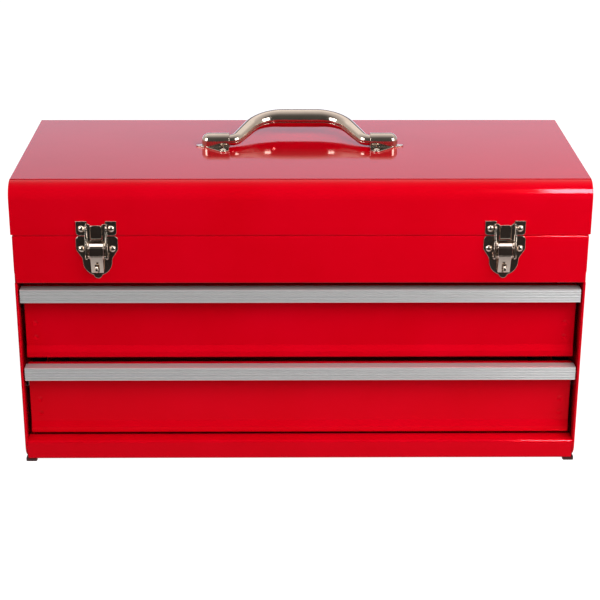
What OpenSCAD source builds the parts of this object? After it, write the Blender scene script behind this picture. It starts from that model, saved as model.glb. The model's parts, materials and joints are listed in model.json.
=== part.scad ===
// Portable steel tool box: a hinged lid with a drop handle over a top compartment,
// and two drawers on channel slides below it.
// Millimetres. X runs to the right, Y to the back and Z up. The origin is on the
// ground, midway between the outermost front and back and between the two sides.

/* [Case] */
// Width across the two side panels
case_w = 510; // [440:1:620]
// Depth from the front plane to the outside of the back wall
case_d = 218; // [180:1:270]
// Height from the underside of the base to the lid seam
case_h = 219.4; // [185:0.1:270]
// Thickness of the steel sheet
sheet = 0.8; // [0.6:0.1:1]
// Height of the fixed panel in front of the top compartment
panel_h = 45.3; // [38:0.1:60]
// Radius of the lower front corner of each side panel
corner_r = 12; // [9:0.5:15]
// Thickness of the rolled front edge of each side panel
edge_t = 2.3; // [2:0.1:3]
// Depth of the rolled front edge of each side panel
edge_depth = 8; // [6:0.5:8]
// Height of the stepped rim that the lid closes over
rim_h = 6; // [4:0.5:8]

/* [Base] */
// Height of the front rail under the drawers
rail_h = 18.3; // [14:0.1:30]
// Depth of the ledge on top of the front rail
rail_depth = 17; // [15:0.5:24]
// Height of the flanges that join the base to the walls
flange_h = 12; // [8:0.5:15]
// Width of each foot pad
foot_w = 10; // [8:0.5:16]
// Length of each foot pad from front to back
foot_l = 14; // [10:0.5:24]
// Height of each foot pad
foot_h = 2.5; // [2:0.1:6]

/* [Lid] */
// Height of the lid above the seam
lid_h = 47.6; // [40:0.1:70]
// Radius of the bend along the front of the lid
lid_bend = 15; // [10:0.5:20]
// Overhang of the lid past the case on the front and the sides
lid_proud = 0.8; // [0.6:0.1:1.2]
// Gap between the lid and the rim inside it
rim_gap = 0.3; // [0.3:0.1:0.6]

/* [Hinge] */
// Distance that the hinge stops short of each side of the case
hinge_inset = 15; // [8:1:40]
// Number of knuckles along the hinge, an odd number
knuckles = 19; // [9:2:25]
// Outside radius of a knuckle
knuckle_r = 2.3; // [2.1:0.1:3]
// Height of each hinge leaf from the pin
leaf_h = 14; // [10:0.5:20]

/* [Drawers] */
// Distance from the front plane back to the face of a drawer
recess = 15; // [13:0.5:20]
// Gap from the outside of the case to the end of a drawer front
front_inset = 5; // [4.5:0.1:8]
// Clearance between the front rail and the lower drawer
bottom_gap = 2.2; // [1.5:0.1:4]
// Clearance between the upper drawer's space and the top compartment
top_gap = 1.6; // [1:0.1:4]
// Clearance above each pull
pull_gap = 4.85; // [3:0.05:8]
// Height of the side walls of a drawer tray
tray_h = 60; // [40:0.5:60]
// Distance from the outside of the case to the side of a tray
tray_inset = 17; // [17:0.5:24]
// Distance that a drawer opens
travel = 130; // [90:1:140]

/* [Pulls] */
// Height of the ribbed face of a pull
pull_h = 12.6; // [10:0.1:15]
// Depth of the top of a pull
pull_depth = 11; // [9:0.5:12]
// Wall thickness of the aluminium section
pull_t = 1.2; // [1:0.1:1.5]
// Number of ribs on the face
pull_ribs = 5; // [4:1:6]
// Gap from the outside of the case to the end of a pull
pull_inset = 4; // [3.5:0.1:8]

/* [Slides] */
// Outside height of a channel
channel_h = 14; // [12:0.5:18]
// Depth of a channel from the side panel
channel_depth = 11; // [9:0.5:12]
// Height of the channel's middle above the bottom of its drawer
slide_z = 44; // [36:0.5:46]
// Gap between a runner and its channel
slide_gap = 0.3; // [0.3:0.05:0.5]

/* [Latches] */
// Distance from the outside of the case to the middle of a latch
latch_inset = 75; // [50:1:110]
// Width of a latch plate on the case
latch_w = 37; // [35:0.1:40]
// Width of a strike on the lid
strike_w = 35.6; // [34:0.1:40]
// Thickness of the latch stampings
latch_t = 1.2; // [1:0.1:1.3]
// Distance from the middle of a latch plate to its rivets
latch_rivet_x = 13.6; // [13.2:0.1:14]
// Distance from the middle of a strike to its rivets
strike_rivet_x = 13; // [13:0.1:14]
// Radius of the pins in a latch
latch_pin_r = 1.25; // [1.1:0.05:1.4]
// Angle that the hasp leans in towards the case
hasp_lean = 17; // [12:0.5:18]

/* [Handle] */
// Distance between the inner faces of the two brackets
handle_span = 132; // [120:1:180]
// Distance from the front plane back to the handle's pivot
handle_y = 119.5; // [95:0.5:135]
// Distance from the pivot to the middle line of the grip
handle_reach = 44.4; // [38:0.1:52]
// Angle above the lid at which the handle lies to the back
rest_angle = 13; // [6:0.5:90]
// Radius of the grip in the middle
grip_r = 8.7; // [7:0.1:9.5]
// Radius of the grip where it enters the brackets
neck_r = 5; // [4.5:0.05:5.5]
// Wall thickness of the rolled grip
grip_wall = 1.2; // [1:0.1:1.5]
// Height of the handle's pivot above the lid
pivot_z = 6; // [6:0.1:8]
// Angle between the legs of the handle and the line of its pivots
leg_angle = 63.5; // [55:0.5:70]

/* [Hidden] */
$fn = 48;

red = [0.80, 0.01, 0.07];
zinc = [0.72, 0.73, 0.74];
nickel = [0.62, 0.58, 0.53];
aluminium = [0.80, 0.81, 0.82];
rubber = [0.16, 0.08, 0.07];

half_w = case_w / 2;
running_gap = 0.05;
sheet_gap = 0.1;
eps = 0.01;
join = 0.02;
over = 1;
far = 400;

// Inside radius of a tight bend and of a plain bend in the sheet
small_bend = 0.3;
fold_bend = 1.2;

// Rim: the walls step in under the lid by the lid's folded edge and its gap
step_in = 2 * sheet + rim_gap - lid_proud;
step_z = case_h - rim_gap - step_in - small_bend;
rim_top = case_h + rim_h;
rim_back = 1;
rim_lap = 3;
lid_fold_h = 3.6;
lid_flange = 5;

// Front panel of the top compartment
panel_z = case_h - panel_h;
panel_return = step_in + 2 * sheet + 0.3;
panel_bend = 0.7;
panel_fold = 12;
corner_in = 1.7;
corner_bend = 2.2;
corner_up = 12;

// Pans: the floor of the top compartment and the base
pan_end = 6;
pan_back = 5;
floor_front = 2;
rail_fold = 10;
rail_lap = 3;
foot_in = [0.5, 1];
foot_bend = 1.5;

// Hinge: the pin stands clear of the back wall
hinge_gap = 0.3;
pin_r = 1.25;
pin_y = case_d + hinge_gap + knuckle_r;
knuckle_gap = 0.3;
hinge_len = case_w - 2 * hinge_inset;
knuckle_len = hinge_len / knuckles;

// Drawers share what is left between the rail and the top compartment
pitch = (case_h - rail_h - panel_h - bottom_gap - top_gap) / 2;
front_top = pitch - pull_gap;
ledge_top = front_top - pull_t;
ledge_nose = 3;
ledge_back = recess + 5.5;
ledge_drop = 9;
lip_out = 2;
lip_h = 5.9;
lip_slope = 5.7;
front_half = half_w - front_inset;
tray_half = half_w - tray_inset;
tray_back = case_d - sheet - 1.2;
tray_rim = 6;
flange_back = 6;
flange_z = [2, min(tray_h, ledge_top) - 8];
front_fold = 9;
lip_bend = 2;
weld_x = front_half - 9;
weld_z = [19.7, 33.6];
weld_r = 6.2;
weld_deep = 0.75 * sheet;
rib_sink = 0.3;
jaw_in = 2;

// Slides
slide_t = 0.8;
slide_front = recess + 23;
channel_back = case_d - sheet - 6;
runner_back = case_d - 18;
runner_h = channel_h - 2 * slide_t - 2 * slide_gap;
lug_h = 6;
lug_t = 1.2;
lug_in = 3;
lug_back = runner_back - slide_t - travel - 0.8;

// Latch: heights are from the seam, and depths from the front plane outwards
latch_x = half_w - latch_inset;
rivet_head_r = 3.1;
rivet_head_h = 1.5;
rivet_shank_r = 1.55;
rivet_tail_r = 2.5;
rivet_tail_h = 0.7;
plate_top = -0.5;
plate_corner_r = 3.5;
plate_shoulder = -12.7;
plate_waist = [13.3, -21];
plate_notch = [5.6, -3.4];
plate_rivet_z = -12.2;
plate_bow = [0, -24.2];
plate_bow_r = 12.9;
plate_tip = [0, -36];
plate_tip_r = 3.8;
cheek_x = 6.7;
cheek_r = 3.2;
lever_pivot = [5.2, -7.9];
bail_pivot = [4.2, -18.9];
lever_half = 6.4;
lever_knuckle_r = 2.9;
lever_eye_r = 2.4;
lever_face = [8.6, -18.6];
lever_web_front = [8.1, -19.6];
lever_bend = 2;
hasp_half = 5.5;
hasp_len = 16.3;
hasp_slot = 1.7;
slot_end = [0.6, 0.4];
staple_t = 2.2;
staple_hole = [7.9, -28.9];
staple_hole_r = 1.9;
staple_r = 3.3;
strike_rivet_z = 6.6;
strike_z = [0.6, 13.6];
strike_bend = 3;
strike_ear_x = 8;
strike_mid_top = 9.5;
hook_half = 4.9;
hook_gap = 2.2;
hook_low = -2.8;
hook_top = 10.8;
hook_bend = 2.2;
rail_gap = 0.3;
bail_t = 1.5;
bail_half = cheek_x + latch_t + rail_gap + bail_t;
bail_gap = 0.5;
bail_deep = 4;
bail_top = 11.6;
bail_low = -4.35;
bail_tie = 1.2;
bail_bend = 1.8;
bail_arm = 4;
bail_slot = hook_half + 0.4;
pin_head_r = 1.9;
pin_head_h = 0.5;
bail_pin_half = bail_half + 0.1;

// Handle
lid_top = case_h + lid_h;
bracket_t = 1.2;
journal_gap = 0.3;
journal_r = neck_r + 0.3;
journal_len = 15;
journal_in = 1;
bracket_r = journal_r + journal_gap + bracket_t;
bracket_len = 19;
bracket_x = handle_span / 2;
ear = [5.4, 16.4];
ear_r = 5;
ear_root = [18, 4.5];
ear_root_r = 4;
tip_root = 3;
tip_x = 29.6;
tip_r = 1.6;
leg_gap = 0.4;
low_bend = 8.2;
high_bend = 33;

// The outermost points at the front and the back centre the part on its origin
front_reach = staple_hole[0] + staple_r;
back_reach = hinge_gap + 2 * knuckle_r;
front_y = -(case_d + back_reach - front_reach) / 2;

// ---- Placing ----

// Puts a part drawn from the front plane and the base's underside into the frame
module in_frame() translate([0, front_y, foot_h]) children();

// Runs a profile of depth and height along the width
module along_x(w) rotate([90, 0, 90]) linear_extrude(w, center = true) children();

// Runs a profile of width and height from depth y0 to depth y1
module along_y(y0, y1) translate([0, y1, 0]) rotate([90, 0, 0]) linear_extrude(y1 - y0) children();

// Runs a profile of distance out from the front and height along the width
module out_along_x(w) rotate([90, 0, -90]) linear_extrude(w, center = true) children();

// Stands a profile of width and height on the front, from one distance out to another
module out_plate(o0, o1) translate([0, -o0, 0]) rotate([90, 0, 0]) linear_extrude(o1 - o0) children();

module both_sides() {
    children();
    mirror([1, 0, 0]) children();
}

// ---- Profiles ----

function unit(a, b) = (b - a) / norm(b - a);
function left_of(d) = [-d[1], d[0]];
function turn_at(p, i) =
    let (a = unit(p[i - 1], p[i]), b = unit(p[i], p[i + 1])) atan2(cross(a, b), a * b);
function cut_at(p, r, i) =
    i == 0 || i == len(p) - 1 ? 0 : r[i - 1] * tan(abs(turn_at(p, i)) / 2);

// Straight strip of sheet centred on the line from a to b
module strip(a, b, t)
    translate(a) rotate(atan2(b[1] - a[1], b[0] - a[0])) translate([0, -t / 2]) square([norm(b - a), t]);

// Part of a ring that joins two strips at a bend
module bend(centre, from, to, r, t) {
    reach = 1.5 * (r + t);
    middle = (from + to) / norm(from + to);
    intersection() {
        translate(centre) difference() {
            circle(r + t / 2);
            circle(r - t / 2);
        }
        polygon([centre, centre + reach * from, centre + reach * middle, centre + reach * to]);
    }
}

// Sheet that follows a path along its middle, with a given inside radius at each bend
module folded(path, inside, t = sheet) {
    mid = [for (r = inside) r + t / 2];
    last = len(path) - 1;
    for (i = [0 : last - 1]) {
        d = unit(path[i], path[i + 1]);
        from = path[i] + d * (cut_at(path, mid, i) - (i > 0 ? join : 0));
        to = path[i + 1] - d * (cut_at(path, mid, i + 1) - (i + 1 < last ? join : 0));
        strip(from, to, t);
    }
    for (i = [1 : last - 1]) {
        d1 = unit(path[i - 1], path[i]);
        d2 = unit(path[i], path[i + 1]);
        side = sign(turn_at(path, i));
        centre = path[i] - d1 * cut_at(path, mid, i) + side * left_of(d1) * mid[i - 1];
        bend(centre, -side * left_of(d1), -side * left_of(d2), mid[i - 1], t);
    }
}

// Two discs joined by their outer tangents
module link(a, ra, b, rb) {
    d = norm(b - a);
    along = atan2(b[1] - a[1], b[0] - a[0]);
    swing = acos((ra - rb) / d);
    up = [cos(along + swing), sin(along + swing)];
    down = [cos(along - swing), sin(along - swing)];
    translate(a) circle(ra);
    translate(b) circle(rb);
    polygon([a + ra * up, a + ra * down, b + rb * down, b + rb * up]);
}

// Rectangle from corner a to corner b with all its corners rounded
module rounded(a, b, r) {
    translate([a[0] + r, a[1]]) square([b[0] - a[0] - 2 * r, b[1] - a[1]]);
    translate([a[0], a[1] + r]) square([b[0] - a[0], b[1] - a[1] - 2 * r]);
    for (x = [a[0] + r, b[0] - r], y = [a[1] + r, b[1] - r]) translate([x, y]) circle(r);
}

module box2(a, b) translate(a) square(b - a);
module box3(a, b) translate(a) cube(b - a);

// Sheet folded back on itself, from its round top down to z0
module rim_fold(x0, x1, z0, z1) {
    r = (x1 - x0) / 2;
    box2([x0, z0], [x1, z1 - r]);
    translate([x0 + r, z1 - r]) circle(r);
}

// ---- Case ----

// Rolled front edge of a side panel, from depth y0 back
module edge_roll(y0) {
    r = edge_t / 2;
    if (y0 < r) translate([half_w - r, r]) circle(r);
    box2([half_w - edge_t, max(y0, r)], [half_w, edge_depth]);
}

// The rolled edge turned through the lower front corner
module corner_roll()
    translate([half_w, corner_r, corner_r])
        rotate([0, -90, 0]) rotate([0, 0, 180]) rotate_extrude(angle = 90) {
            box2([corner_r - edge_depth, 0], [corner_r - edge_t / 2, edge_t]);
            translate([corner_r - edge_t / 2, edge_t / 2]) circle(edge_t / 2);
        }

// Stepped rim on top of a side panel, as a profile of width and height
module side_rim() {
    x = half_w - sheet / 2;
    folded([[x, step_z - rim_lap], [x, step_z], [x - step_in, step_z + step_in],
        [x - step_in, rim_top - sheet]], [small_bend, small_bend]);
    rim_fold(half_w - step_in - 2 * sheet, half_w - step_in, case_h, rim_top);
}

module case_shell() color(red) in_frame() {
    x = half_w - sheet / 2;
    y0 = panel_return + running_gap;
    y1 = case_d - sheet / 2;
    rim_y = case_d - 2 * sheet - rim_back;
    difference() {
        linear_extrude(case_h - rim_gap)
            folded([[-x, y0], [-x, y1], [x, y1], [x, y0]], [fold_bend, fold_bend]);
        both_sides() {
            box3([half_w - fold_bend - sheet - over, 0, step_z], [half_w + over, rim_y, case_h]);
            difference() {
                box3([half_w - edge_t - over, 0, -over], [half_w + over, corner_r, corner_r]);
                translate([half_w, corner_r, corner_r]) rotate([0, 90, 0])
                    cylinder(h = corner_r, r = corner_r - edge_t / 2, center = true);
            }
        }
    }
    both_sides() {
        along_y(y0, rim_y) side_rim();
        translate([0, 0, corner_r]) linear_extrude(panel_z - corner_r) edge_roll(0);
        translate([0, 0, corner_r]) linear_extrude(step_z - over - corner_r) edge_roll(y0);
        corner_roll();
        along_y(corner_r, corner_r + edge_t) bottom_roll();
    }
}

// End of the rolled edge, behind the corner
module bottom_roll() {
    r = edge_t / 2;
    translate([half_w - r, r]) circle(r);
    box2([half_w - edge_t, r], [half_w, edge_depth]);
}

// Cut that tapers a lower corner of the front panel in from the side
module panel_corner() {
    x = half_w - corner_in;
    low = panel_z - over;
    bend_z = panel_z + corner_bend;
    polygon([[half_w + over, low], [x, low], [x, bend_z], [half_w, panel_z + corner_up],
        [half_w + over, panel_z + corner_up]]);
    difference() {
        box2([x - corner_bend, low], [x + eps, bend_z]);
        translate([x - corner_bend, bend_z]) circle(corner_bend);
    }
}

module chest_front() color(red) in_frame() {
    y = sheet / 2;
    rim_y = step_in + y;
    flat_half = half_w - panel_bend - sheet;
    rivet_z = case_h + plate_rivet_z;
    difference() {
        union() {
            along_x(2 * flat_half) {
                folded([[panel_fold, panel_z + y], [y, panel_z + y], [y, step_z],
                    [rim_y, step_z + step_in], [rim_y, rim_top - sheet]],
                    [panel_bend, small_bend, small_bend]);
                rim_fold(step_in, step_in + 2 * sheet, case_h, rim_top);
            }
            both_sides() translate([0, 0, panel_z]) linear_extrude(step_z - panel_z)
                folded([[flat_half - eps, y], [half_w - y, y], [half_w - y, panel_return]], [panel_bend]);
        }
        both_sides() {
            along_y(-over, panel_return + over) panel_corner();
            box3([half_w - edge_t - sheet_gap, panel_return - sheet_gap, panel_z - over],
                [half_w + over, panel_fold + over, panel_z + sheet + over]);
            for (s = [-1, 1]) translate([latch_x + s * latch_rivet_x, 0, rivet_z]) rivet_hole();
        }
    }
}

module chest_floor() color(red) in_frame() {
    z = panel_z + 1.5 * sheet;
    x = half_w - 1.5 * sheet;
    y = case_d - 1.5 * sheet;
    up = z + flange_h;
    front_x = half_w - edge_t - sheet_gap;
    along_y(edge_depth + 2 * sheet_gap, case_d - pan_back)
        folded([[-x, up], [-x, z], [x, z], [x, up]], [fold_bend, fold_bend]);
    along_x(case_w - 2 * pan_end) folded([[edge_depth, z], [y, z], [y, up]], [fold_bend]);
    box3([-front_x, floor_front, z - sheet / 2], [front_x, edge_depth + over, z + sheet / 2]);
}

module base_pan() color(red) in_frame() {
    m = sheet / 2;
    x = half_w - 1.5 * sheet;
    y = case_d - 1.5 * sheet;
    inner_y = rail_depth + rail_lap;
    along_x(case_w - 2 * edge_t - 2 * sheet_gap)
        folded([[rail_fold, m], [m, m], [m, rail_h - m], [rail_depth - m, rail_h - m], [rail_depth - m, m],
            [inner_y + rail_lap, m]], [fold_bend, fold_bend, fold_bend, fold_bend]);
    along_x(case_w - 2 * pan_end) folded([[inner_y, m], [y, m], [y, flange_h]], [fold_bend]);
    along_y(inner_y, case_d - pan_back)
        folded([[-x, flange_h], [-x, m], [x, m], [x, flange_h]], [fold_bend, fold_bend]);
}

module feet() color(rubber) in_frame() {
    x = half_w - foot_w / 2;
    for (s = [-1, 1], y = [foot_in[0], case_d - foot_l - foot_in[1]])
        translate([s * x, y, -foot_h]) linear_extrude(foot_h)
            rounded([-foot_w / 2, 0], [foot_w / 2, foot_l], foot_bend);
}

// ---- Lid ----

// Outline of the lid from the side, moved in from the outside
module lid_outline(inset) {
    y0 = inset - lid_proud;
    y1 = case_d - inset;
    z1 = lid_top - inset;
    front_r = lid_bend - inset;
    back_r = fold_bend + sheet - inset;
    box2([y0, case_h], [y1, z1 - front_r]);
    box2([y0 + front_r, z1 - front_r - eps], [y1 - back_r, z1]);
    box2([y1 - back_r - eps, z1 - front_r - eps], [y1, z1 - back_r]);
    translate([y0 + front_r, z1 - front_r]) circle(front_r);
    translate([y1 - back_r, z1 - back_r]) circle(back_r);
}

module lid_skin() color(red) in_frame() {
    m = sheet / 2;
    difference() {
        union() {
            along_x(case_w + 2 * lid_proud)
                folded([[m - lid_proud, case_h + sheet], [m - lid_proud, lid_top - m],
                    [case_d - m, lid_top - m], [case_d - m, case_h + sheet]], [lid_bend - sheet, fold_bend]);
            along_x(case_w + 2 * lid_proud - 4 * sheet - 2 * sheet_gap) {
                lid_fold(-lid_proud);
                lid_fold(case_d - 2 * sheet);
            }
        }
        both_sides() {
            for (s = [-1, 1]) {
                translate([latch_x + s * strike_rivet_x, 0, case_h + strike_rivet_z]) rivet_hole();
                translate([bracket_x + ear[0], handle_y + s * ear[1], lid_top]) rotate([90, 0, 0]) rivet_hole();
            }
        }
    }
}

// Lower edge of the lid, folded up inside, with its outside face at depth y
module lid_fold(y) {
    box2([y, case_h + sheet], [y + 2 * sheet, case_h + lid_fold_h]);
    translate([y + sheet, case_h + sheet]) circle(sheet);
}

module lid_end() {
    outside = half_w + lid_proud;
    translate([outside - sheet / 2, 0, 0]) along_x(sheet) difference() {
        lid_outline(sheet);
        box2([-far, case_h - over], [far, case_h + sheet]);
    }
    along_y(2 * sheet + sheet_gap - lid_proud, case_d - 2 * sheet - sheet_gap)
        translate([outside - 2 * sheet, 0]) {
            box2([0, case_h + sheet], [2 * sheet, case_h + lid_fold_h]);
            translate([sheet, case_h + sheet]) circle(sheet);
        }
    translate([outside - sheet - lid_flange, 0, 0]) along_x(2 * lid_flange) difference() {
        lid_outline(sheet);
        lid_outline(2 * sheet);
        box2([-far, case_h - over], [far, rim_top + rim_gap]);
    }
}

module lid_end_left() color(red) in_frame() mirror([1, 0, 0]) lid_end();
module lid_end_right() color(red) in_frame() lid_end();

// ---- Hinge ----

// Leaf that goes down from the pin, with the knuckles whose number leaves the given remainder
module hinge_leaf(odd) {
    clear = knuckle_r + hinge_gap;
    difference() {
        union() {
            box3([-hinge_len / 2, case_d, case_h - leaf_h], [hinge_len / 2, case_d + sheet, case_h - clear]);
            for (i = [odd : 2 : knuckles - 1]) translate([-hinge_len / 2 + i * knuckle_len, 0, 0]) {
                x0 = knuckle_gap / 2;
                x1 = knuckle_len - knuckle_gap / 2;
                translate([x0, pin_y, case_h]) rotate([0, 90, 0]) cylinder(h = x1 - x0, r = knuckle_r);
                box3([x0, case_d, case_h - clear - eps], [x1, case_d + sheet, case_h]);
            }
        }
        translate([0, pin_y, case_h]) rotate([0, 90, 0])
            cylinder(h = case_w, r = pin_r + running_gap, center = true);
    }
}

module hinge_leaf_case() color(zinc) in_frame() hinge_leaf(0);
module hinge_leaf_lid() color(zinc) in_frame()
    translate([0, 0, 2 * case_h]) mirror([0, 0, 1]) hinge_leaf(1);
module hinge_pin() color(zinc) in_frame()
    translate([0, pin_y, case_h]) rotate([0, 90, 0]) cylinder(h = hinge_len, r = pin_r, center = true);

// ---- Drawers ----

function drawer_z(level) = rail_h + bottom_gap + level * pitch;
module at_drawer(level) in_frame() translate([0, 0, drawer_z(level)]) children();

module drawer_tray() {
    rim_z = tray_h - tray_rim;
    difference() {
        box3([-tray_half, recess + sheet, sheet], [tray_half, tray_back, tray_h]);
        box3([-tray_half + sheet, 0, 2 * sheet], [tray_half - sheet, tray_back - sheet, rim_z]);
        box3([-tray_half + 2 * sheet, 0, rim_z - eps],
            [tray_half - 2 * sheet, tray_back - 2 * sheet, tray_h + over]);
    }
    both_sides() tray_flange();
}

// Flange at the front of a tray's side wall, which carries the drawer front
module tray_flange()
    translate([0, 0, flange_z[0]]) linear_extrude(flange_z[1] - flange_z[0])
        folded([[tray_half - sheet / 2, recess + flange_back], [tray_half - sheet / 2, recess + 1.5 * sheet],
            [front_half - sheet - over, recess + 1.5 * sheet]], [small_bend]);

module drawer_front() {
    m = sheet / 2;
    low = ledge_top - 1.5 * sheet;
    high = ledge_top - m;
    lip_y = recess - lip_out + m;
    difference() {
        union() {
            along_x(2 * front_half) {
                folded([[recess + front_fold, m], [lip_y, m], [lip_y, lip_h], [recess + m, lip_h + lip_slope],
                    [recess + m, low], [ledge_nose + sheet, low]], [fold_bend, lip_bend, lip_bend, fold_bend]);
                folded([[ledge_nose + sheet, high], [ledge_back - m, high],
                    [ledge_back - m, high - ledge_drop]], [fold_bend]);
                translate([ledge_nose + sheet, ledge_top - sheet]) circle(sheet);
            }
            both_sides() translate([front_half - m, 0, 0]) along_x(sheet)
                box2([recess + sheet - eps, lip_h + lip_slope],
                    [ledge_back - sheet, ledge_top - sheet - fold_bend]);
        }
        both_sides() for (z = weld_z)
            translate([weld_x, recess - weld_r + weld_deep, z]) sphere(weld_r);
    }
}

module drawer_pull() {
    rib_r = pull_h / pull_ribs / 2;
    jaw = ledge_top - 2 * sheet;
    along_x(case_w - 2 * pull_inset) {
        for (i = [0 : pull_ribs - 1]) translate([rib_r, front_top - (2 * i + 1) * rib_r]) circle(rib_r);
        box2([rib_r - rib_sink, front_top - pull_h + rib_sink], [rib_r + pull_t, front_top - rib_sink]);
        box2([rib_r, front_top - pull_t], [pull_depth, front_top]);
        box2([rib_r, jaw - pull_t], [pull_depth - jaw_in, jaw]);
    }
}

// C section that rides in a channel, closed at the back by a stop
module drawer_runner() {
    z0 = slide_z - runner_h / 2;
    z1 = slide_z + runner_h / 2;
    tip = half_w - max(sheet + slide_t, edge_t) - slide_gap;
    m = slide_t / 2;
    along_y(slide_front, runner_back)
        folded([[tip, z1 - m], [tray_half + m, z1 - m], [tray_half + m, z0 + m], [tip, z0 + m]],
            [small_bend, small_bend], slide_t);
    box3([tray_half + m, runner_back - slide_t, z0 + slide_t - eps], [tip, runner_back, z1 - slide_t + eps]);
}

module drawer_upper_tray() color(red) at_drawer(1) drawer_tray();
module drawer_upper_front() color(red) at_drawer(1) drawer_front();
module drawer_upper_pull() color(aluminium) at_drawer(1) drawer_pull();
module drawer_upper_runner_left() color(zinc) at_drawer(1) mirror([1, 0, 0]) drawer_runner();
module drawer_upper_runner_right() color(zinc) at_drawer(1) drawer_runner();
module drawer_lower_tray() color(red) at_drawer(0) drawer_tray();
module drawer_lower_front() color(red) at_drawer(0) drawer_front();
module drawer_lower_pull() color(aluminium) at_drawer(0) drawer_pull();
module drawer_lower_runner_left() color(zinc) at_drawer(0) mirror([1, 0, 0]) drawer_runner();
module drawer_lower_runner_right() color(zinc) at_drawer(0) drawer_runner();

// Channel on a side panel, with a lug that stops the runner when the drawer is out
module slide_channel() {
    z0 = slide_z - channel_h / 2;
    z1 = slide_z + channel_h / 2;
    wall = half_w - sheet;
    m = slide_t / 2;
    along_y(slide_front, channel_back)
        folded([[wall - channel_depth, z1 - m], [wall - m, z1 - m], [wall - m, z0 + m],
            [wall - channel_depth, z0 + m]], [small_bend, small_bend], slide_t);
    box3([wall - channel_depth + lug_in, lug_back - lug_t, slide_z - lug_h / 2],
        [wall - m, lug_back, slide_z + lug_h / 2]);
}

module slide_channel_upper_left() color(zinc) at_drawer(1) mirror([1, 0, 0]) slide_channel();
module slide_channel_upper_right() color(zinc) at_drawer(1) slide_channel();
module slide_channel_lower_left() color(zinc) at_drawer(0) mirror([1, 0, 0]) slide_channel();
module slide_channel_lower_right() color(zinc) at_drawer(0) slide_channel();

// ---- Latches ----

module at_latch(side) in_frame() translate([side * latch_x, 0, case_h]) children();

// Domed rivet on an outer face at z = 0, through a stack of sheet below it
module rivet(stack) rotate_extrude() {
    dome_r = (pow(rivet_head_r, 2) + pow(rivet_head_h, 2)) / (2 * rivet_head_h);
    intersection() {
        translate([0, rivet_head_h - dome_r]) circle(dome_r);
        box2([0, 0], [rivet_head_r, rivet_head_h]);
    }
    box2([0, -stack - eps], [rivet_shank_r, eps]);
    box2([0, -stack - rivet_tail_h], [rivet_tail_r, -stack]);
}

module front_rivet(x, out, z, stack) translate([x, -out, z]) rotate([90, 0, 0]) rivet(stack);

// Hole from front to back for the shank of a rivet
module rivet_hole() rotate([90, 0, 0]) cylinder(h = 24, r = rivet_shank_r + running_gap, center = true);

// Plate on the lid, with its middle folded out and up into a hook
module latch_strike() {
    o0 = lid_proud;
    o1 = o0 + latch_t;
    hook_r = latch_t + hook_gap / 2;
    difference() {
        out_plate(o0, o1) {
            difference() {
                rounded([-strike_w / 2, strike_z[0]], [strike_w / 2, strike_z[1] + 2 * strike_bend],
                    strike_bend);
                box2([-far, strike_z[1]], [far, far]);
                box2([-strike_ear_x, strike_mid_top], [strike_ear_x, far]);
            }
            box2([-hook_half, hook_low + hook_r], [hook_half, strike_z[0] + over]);
        }
        for (s = [-1, 1]) translate([s * strike_rivet_x, 0, strike_rivet_z]) rivet_hole();
    }
    intersection() {
        out_along_x(2 * hook_half) {
            translate([o0 + hook_r, hook_low + hook_r]) difference() {
                circle(hook_r);
                circle(hook_gap / 2);
                box2([-far, 0], [far, far]);
            }
            box2([o1 + hook_gap, hook_low + hook_r - eps], [o1 + hook_gap + latch_t, hook_top]);
        }
        out_plate(0, far) rounded([-hook_half, hook_low], [hook_half, hook_top], hook_bend);
    }
}

// Shield on the case, with two cheeks for the lever
module latch_plate() {
    half = latch_w / 2;
    difference() {
        union() {
            out_plate(0, latch_t) difference() {
                union() {
                    rounded([-half, plate_shoulder - plate_corner_r], [half, plate_top], plate_corner_r);
                    polygon([[-half, plate_shoulder], [half, plate_shoulder], plate_waist,
                        [plate_bow_r, plate_bow[1]], [-plate_bow_r, plate_bow[1]],
                        [-plate_waist[0], plate_waist[1]]]);
                    translate(plate_bow) circle(plate_bow_r);
                    translate(plate_tip) circle(plate_tip_r);
                }
                both_sides() polygon([[half + over, plate_shoulder], [half, plate_shoulder], plate_waist,
                    [half + over, plate_waist[1]]]);
                box2([-plate_notch[0], plate_notch[1]], [plate_notch[0], over]);
            }
            both_sides() translate([cheek_x + latch_t / 2, 0, 0]) out_along_x(latch_t) {
                box2([latch_t / 2, lever_pivot[1] - cheek_r], [lever_pivot[0], lever_pivot[1] + cheek_r]);
                translate(lever_pivot) circle(cheek_r);
            }
        }
        out_along_x(latch_w) translate(lever_pivot) circle(latch_pin_r + running_gap);
        for (s = [-1, 1]) translate([s * latch_rivet_x, 0, plate_rivet_z]) rivet_hole();
    }
}

// Staple on the plate, which comes out through the hasp and takes a padlock
module latch_staple() out_along_x(staple_t) difference() {
    union() {
        box2([latch_t, staple_hole[1] - staple_r], [staple_hole[0], staple_hole[1] + staple_r]);
        translate(staple_hole) circle(staple_r);
    }
    translate(staple_hole) circle(staple_hole_r);
}

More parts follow.
